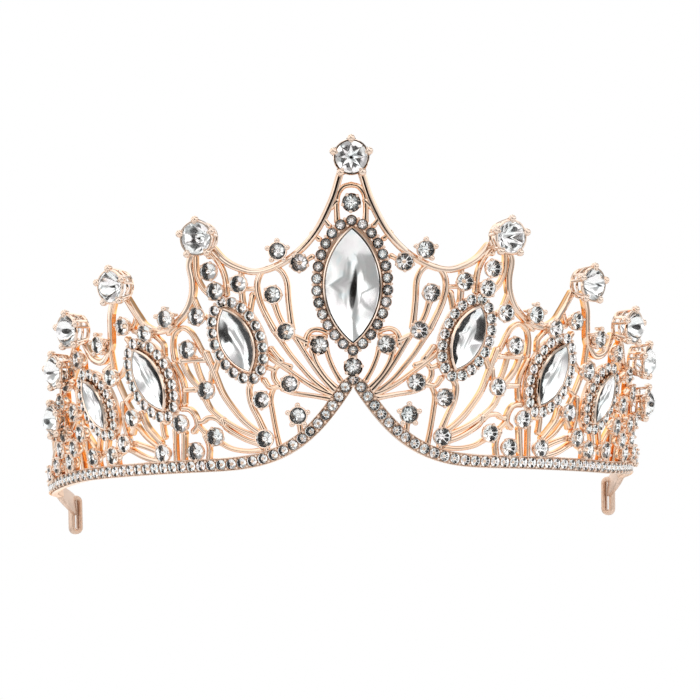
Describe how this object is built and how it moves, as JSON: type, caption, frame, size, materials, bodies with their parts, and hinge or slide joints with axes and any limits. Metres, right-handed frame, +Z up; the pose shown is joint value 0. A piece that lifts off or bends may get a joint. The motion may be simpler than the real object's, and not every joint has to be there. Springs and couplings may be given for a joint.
{
  "type": "tiara",
  "caption": "Heart-fronted bridal tiara: a C-shaped band and cast filigree wall set with marquise crystals in halos, round finial crystals and small accent crystals.",
  "frame": {"origin": "middle of the bounding box at its lowest level, the plane the heart lobes and the end loops stand on", "axes": "+X to the right as seen by someone facing the front, +Z up, the heart front faces -Y"},
  "size_m": [0.157, 0.1286, 0.0755],
  "materials": {
    "rose_gold": "polished",
    "crystal": "polished"
  },
  "bodies": {
    "root": {"base_band": "rose_gold", "crest_rail": "rose_gold", "end_loop_left": "rose_gold", "end_loop_right": "rose_gold", "filigree_center": "rose_gold", "filigree_left_inner": "rose_gold", "filigree_left_middle": "rose_gold", "filigree_left_outer": "rose_gold", "filigree_right_inner": "rose_gold", "filigree_right_middle": "rose_gold", "filigree_right_outer": "rose_gold", "marquise_setting_center": "rose_gold", "marquise_setting_left_1": "rose_gold", "marquise_setting_left_2": "rose_gold", "marquise_setting_left_3": "rose_gold", "marquise_setting_right_1": "rose_gold", "marquise_setting_right_2": "rose_gold", "marquise_setting_right_3": "rose_gold", "marquise_crystal_center": "crystal", "marquise_crystal_left_1": "crystal", "marquise_crystal_left_2": "crystal", "marquise_crystal_left_3": "crystal", "marquise_crystal_right_1": "crystal", "marquise_crystal_right_2": "crystal", "marquise_crystal_right_3": "crystal", "halo_crystals_center": "crystal", "halo_crystals_left": "crystal", "halo_crystals_right": "crystal", "finial_cup_center": "rose_gold", "finial_cup_left_1": "rose_gold", "finial_cup_left_2": "rose_gold", "finial_cup_left_3": "rose_gold", "finial_cup_left_4": "rose_gold", "finial_cup_left_5": "rose_gold", "finial_cup_right_1": "rose_gold", "finial_cup_right_2": "rose_gold", "finial_cup_right_3": "rose_gold", "finial_cup_right_4": "rose_gold", "finial_cup_right_5": "rose_gold", "finial_crystal_center": "crystal", "finial_crystal_left_1": "crystal", "finial_crystal_left_2": "crystal", "finial_crystal_left_3": "crystal", "finial_crystal_left_4": "crystal", "finial_crystal_left_5": "crystal", "finial_crystal_right_1": "crystal", "finial_crystal_right_2": "crystal", "finial_crystal_right_3": "crystal", "finial_crystal_right_4": "crystal", "finial_crystal_right_5": "crystal", "accent_cups_left": "rose_gold", "accent_cups_right": "rose_gold", "star_cups": "rose_gold", "accent_crystals_left": "crystal", "accent_crystals_right": "crystal", "band_crystals_left": "crystal", "band_crystals_right": "crystal"}
  },
  "joints": []
}
